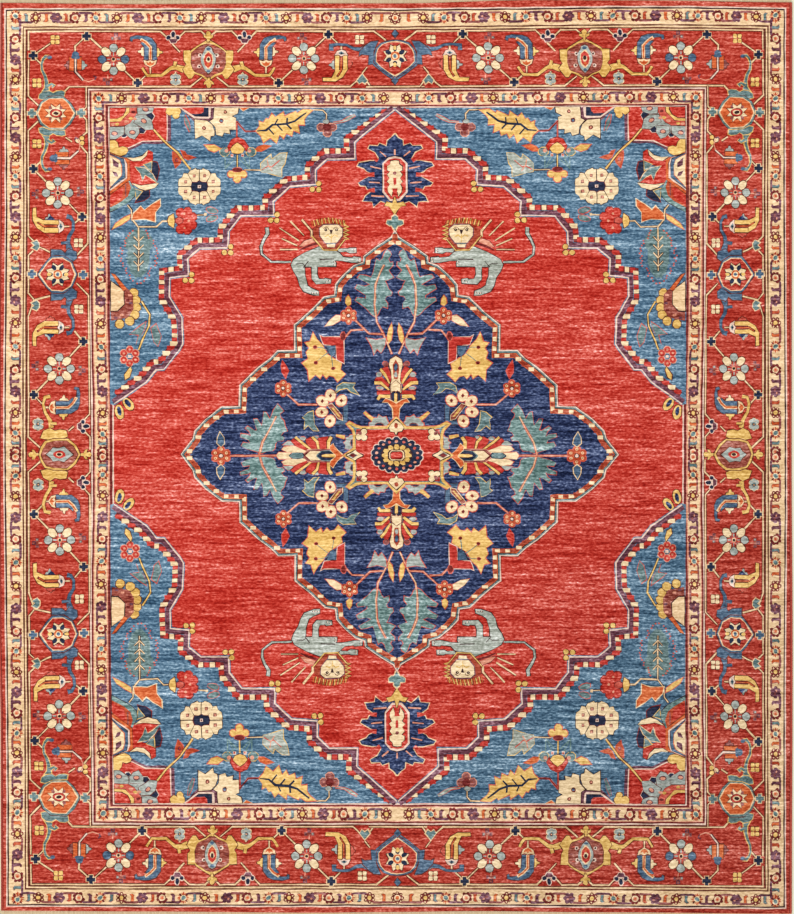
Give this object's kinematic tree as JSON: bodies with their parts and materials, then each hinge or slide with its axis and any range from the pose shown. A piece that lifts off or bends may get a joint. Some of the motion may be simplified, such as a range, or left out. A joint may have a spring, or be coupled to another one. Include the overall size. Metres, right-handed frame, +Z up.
{
  "type": "hand-knotted wool rug",
  "caption": "Flat hand-knotted wool rug, pile up, with overcast side cords and knotted warp fringe lying level at both ends.",
  "frame": {"origin": "middle of the rug's underside, on the surface that it lies on", "axes": "+Z up out of the pile, +Y along the rug towards its far end (the picture's top), +X to the picture's right"},
  "size_m": [2.5063, 3.0288, 0.009],
  "materials": {
    "pile_wool": "clipped wool pile",
    "selvedge_wool": "overcast wool yarn",
    "warp_cotton": "undyed twisted cotton warp"
  },
  "bodies": {
    "root": {"knotted_body": "pile_wool", "selvedge_left": "selvedge_wool", "selvedge_right": "selvedge_wool", "fringe_near": "warp_cotton", "fringe_far": "warp_cotton"}
  },
  "joints": []
}
